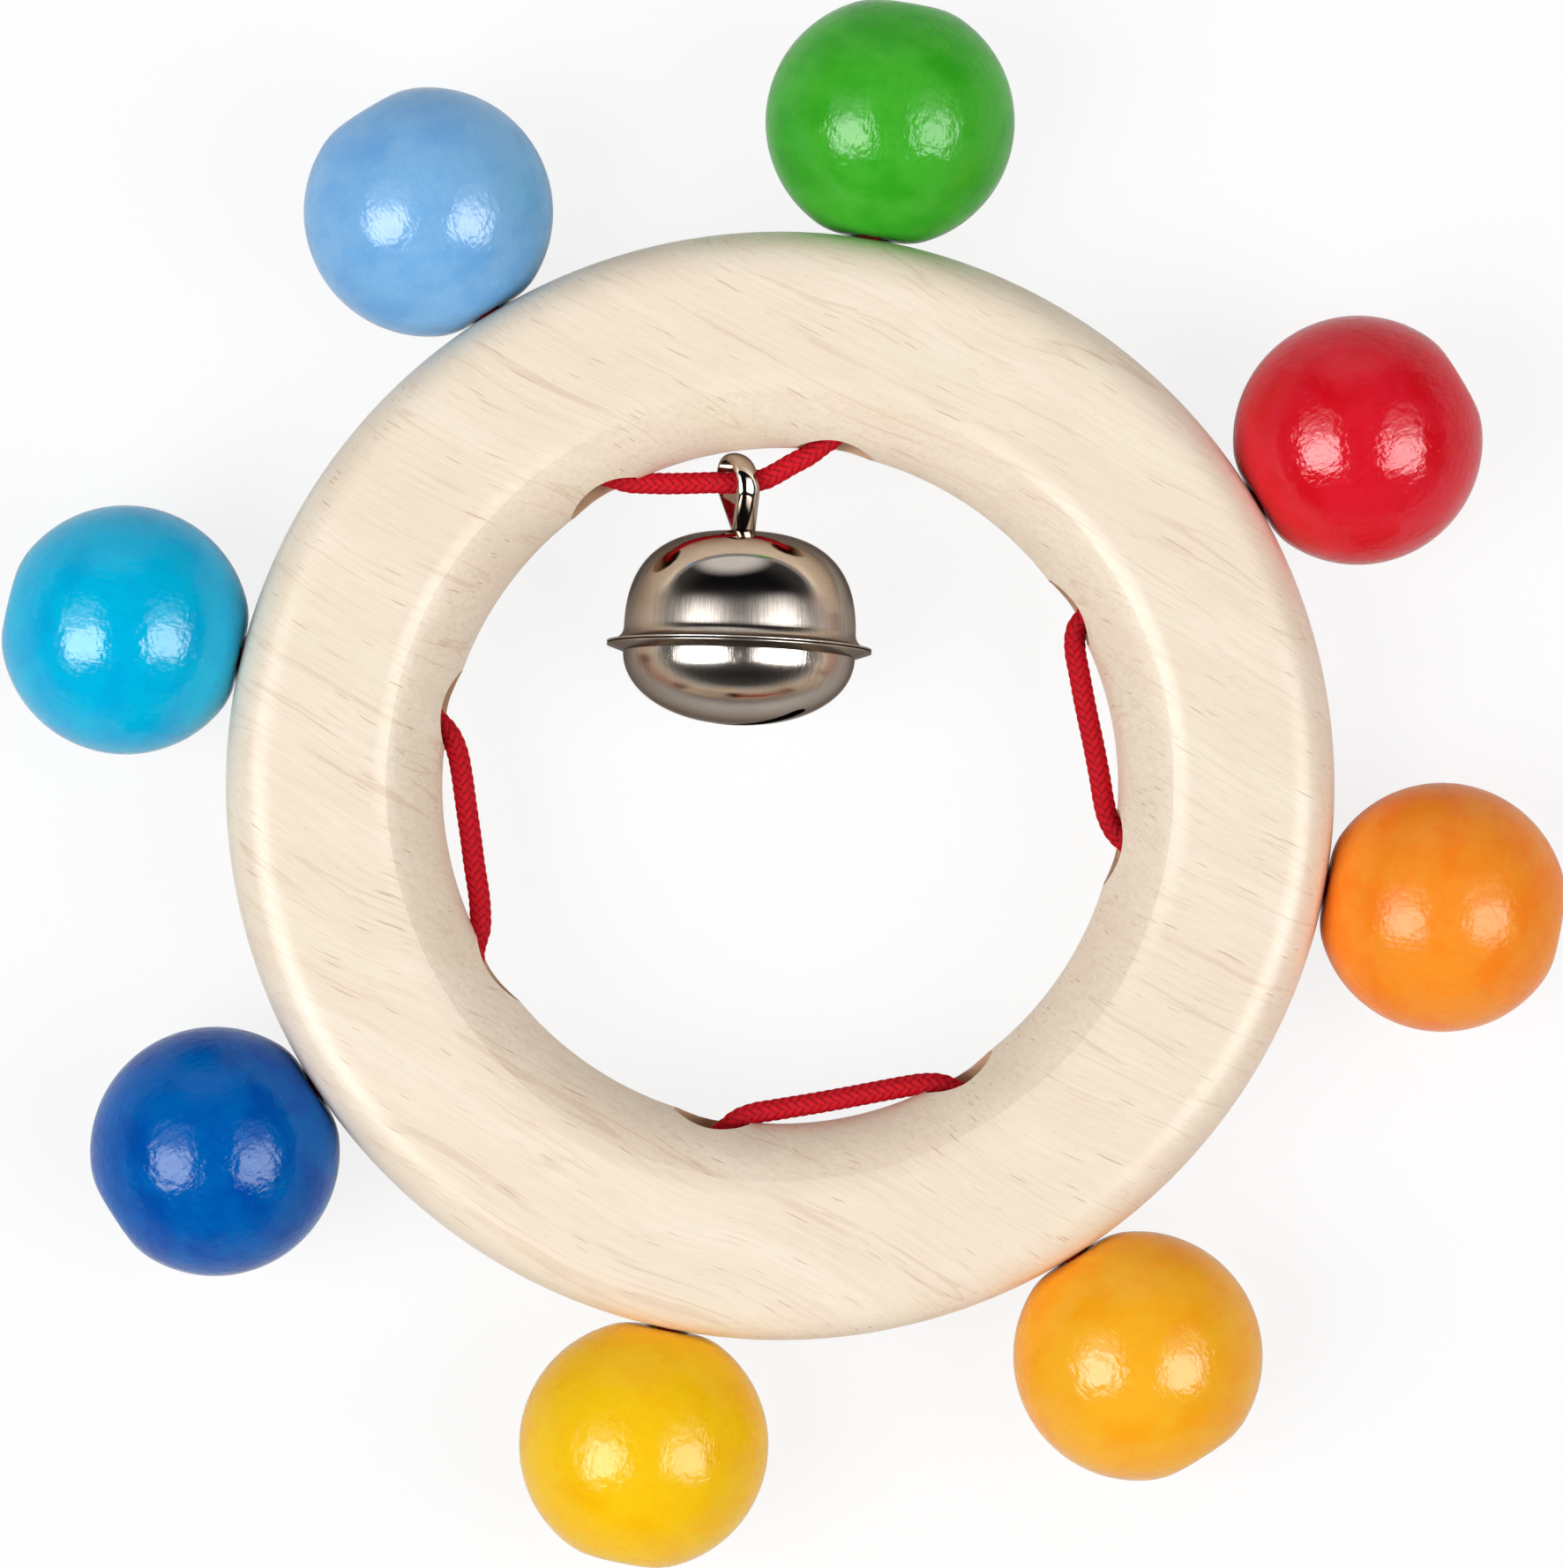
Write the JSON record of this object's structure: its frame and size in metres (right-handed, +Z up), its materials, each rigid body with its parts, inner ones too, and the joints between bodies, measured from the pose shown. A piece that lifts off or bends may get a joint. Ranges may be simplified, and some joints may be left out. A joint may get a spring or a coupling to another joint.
{
  "type": "bead grasping ring",
  "caption": "Flat turned wooden ring with coloured round beads strung round its rim on red elastic cords, and a nickel jingle bell hanging in the opening.",
  "frame": {"origin": "on the ring's axis, in the plane that the beads rest on when the toy lies flat", "axes": "+Z up along the ring's axis, out of its front face; +Y from the opening's centre towards the cord that the bell hangs on"},
  "size_m": [0.1129, 0.1133, 0.0193],
  "materials": {
    "beech": "fine sanded, unfinished, pale grain",
    "lacquer_green": "gloss lacquer over turned wood",
    "lacquer_red": "gloss lacquer over turned wood",
    "lacquer_orange": "gloss lacquer over turned wood",
    "lacquer_amber": "gloss lacquer over turned wood",
    "lacquer_yellow": "gloss lacquer over turned wood",
    "lacquer_dark_blue": "gloss lacquer over turned wood",
    "lacquer_cyan": "gloss lacquer over turned wood",
    "lacquer_light_blue": "gloss lacquer over turned wood",
    "elastic_cord": "braided textile over elastic core",
    "nickel": "bright nickel plate with fine drawing lines",
    "pellet_steel": "plain steel ball"
  },
  "bodies": {
    "ring": {"ring": "beech", "cord_span_top": "elastic_cord", "cord_span_right": "elastic_cord", "cord_span_bottom": "elastic_cord", "cord_span_left": "elastic_cord"},
    "green_cord_end": {"cord_end_green": "elastic_cord"},
    "green_bead": {"bead_green": "lacquer_green"},
    "red_cord_end": {"cord_end_red": "elastic_cord"},
    "red_bead": {"bead_red": "lacquer_red"},
    "orange_cord_end": {"cord_end_orange": "elastic_cord"},
    "orange_bead": {"bead_orange": "lacquer_orange"},
    "amber_cord_end": {"cord_end_amber": "elastic_cord"},
    "amber_bead": {"bead_amber": "lacquer_amber"},
    "yellow_cord_end": {"cord_end_yellow": "elastic_cord"},
    "yellow_bead": {"bead_yellow": "lacquer_yellow"},
    "dark_blue_cord_end": {"cord_end_dark_blue": "elastic_cord"},
    "dark_blue_bead": {"bead_dark_blue": "lacquer_dark_blue"},
    "cyan_cord_end": {"cord_end_cyan": "elastic_cord"},
    "cyan_bead": {"bead_cyan": "lacquer_cyan"},
    "light_blue_cord_end": {"cord_end_light_blue": "elastic_cord"},
    "light_blue_bead": {"bead_light_blue": "lacquer_light_blue"},
    "bell": {"bell_upper_shell": "nickel", "bell_lower_shell": "nickel", "bell_eye": "nickel"},
    "bell_pellet": {"bell_pellet": "pellet_steel"}
  },
  "joints": [
    {"name": "green_pull", "type": "slide", "parent": "ring", "child": "green_cord_end", "axis": [0.1633, 0.9866, 0], "range_m": [0, 0.01], "stiffness_N_per_m": 65, "springref_m": -0.01},
    {"name": "green_spin", "type": "hinge", "parent": "green_cord_end", "child": "green_bead", "pos_m": [0.00794, 0.04795, 0.009], "axis": [0.1633, 0.9866, 0], "continuous": true},
    {"name": "red_pull", "type": "slide", "parent": "ring", "child": "red_cord_end", "axis": [0.8581, 0.5135, 0], "range_m": [0, 0.01], "stiffness_N_per_m": 65, "springref_m": -0.01},
    {"name": "red_spin", "type": "hinge", "parent": "red_cord_end", "child": "red_bead", "pos_m": [0.0417, 0.02496, 0.009], "axis": [0.8581, 0.5135, 0], "continuous": true},
    {"name": "orange_pull", "type": "slide", "parent": "ring", "child": "orange_cord_end", "axis": [0.9836, -0.1805, 0], "range_m": [0, 0.01], "stiffness_N_per_m": 65, "springref_m": -0.01},
    {"name": "orange_spin", "type": "hinge", "parent": "orange_cord_end", "child": "orange_bead", "pos_m": [0.0478, -0.00877, 0.009], "axis": [0.9836, -0.1805, 0], "continuous": true},
    {"name": "amber_pull", "type": "slide", "parent": "ring", "child": "amber_cord_end", "axis": [0.5314, -0.8471, 0], "range_m": [0, 0.01], "stiffness_N_per_m": 65, "springref_m": -0.01},
    {"name": "amber_spin", "type": "hinge", "parent": "amber_cord_end", "child": "amber_bead", "pos_m": [0.02583, -0.04117, 0.009], "axis": [0.5314, -0.8471, 0], "continuous": true},
    {"name": "yellow_pull", "type": "slide", "parent": "ring", "child": "yellow_cord_end", "axis": [-0.2028, -0.9792, 0], "range_m": [0, 0.01], "stiffness_N_per_m": 65, "springref_m": -0.01},
    {"name": "yellow_spin", "type": "hinge", "parent": "yellow_cord_end", "child": "yellow_bead", "pos_m": [-0.00985, -0.04759, 0.009], "axis": [-0.2028, -0.9792, 0], "continuous": true},
    {"name": "dark_blue_pull", "type": "slide", "parent": "ring", "child": "dark_blue_cord_end", "axis": [-0.8396, -0.5432, 0], "range_m": [0, 0.01], "stiffness_N_per_m": 65, "springref_m": -0.01},
    {"name": "dark_blue_spin", "type": "hinge", "parent": "dark_blue_cord_end", "child": "dark_blue_bead", "pos_m": [-0.04081, -0.0264, 0.009], "axis": [-0.8396, -0.5432, 0], "continuous": true},
    {"name": "cyan_pull", "type": "slide", "parent": "ring", "child": "cyan_cord_end", "axis": [-0.9728, 0.2317, 0], "range_m": [0, 0.01], "stiffness_N_per_m": 65, "springref_m": -0.01},
    {"name": "cyan_spin", "type": "hinge", "parent": "cyan_cord_end", "child": "cyan_bead", "pos_m": [-0.04728, 0.01126, 0.009], "axis": [-0.9728, 0.2317, 0], "continuous": true},
    {"name": "light_blue_pull", "type": "slide", "parent": "ring", "child": "light_blue_cord_end", "axis": [-0.5225, 0.8526, 0], "range_m": [0, 0.01], "stiffness_N_per_m": 65, "springref_m": -0.01},
    {"name": "light_blue_spin", "type": "hinge", "parent": "light_blue_cord_end", "child": "light_blue_bead", "pos_m": [-0.02539, 0.04144, 0.009], "axis": [-0.5225, 0.8526, 0], "continuous": true},
    {"name": "bell_swing", "type": "hinge", "parent": "ring", "child": "bell", "pos_m": [-0.00252, 0.02181, 0.009], "axis": [0.994, 0.1093, 0], "range_deg": [-60, 60]},
    {"name": "pellet_rattle", "type": "slide", "parent": "bell", "child": "bell_pellet", "axis": [0, 0.0591, 0.9983], "range_m": [0, 0.0106]}
  ]
}
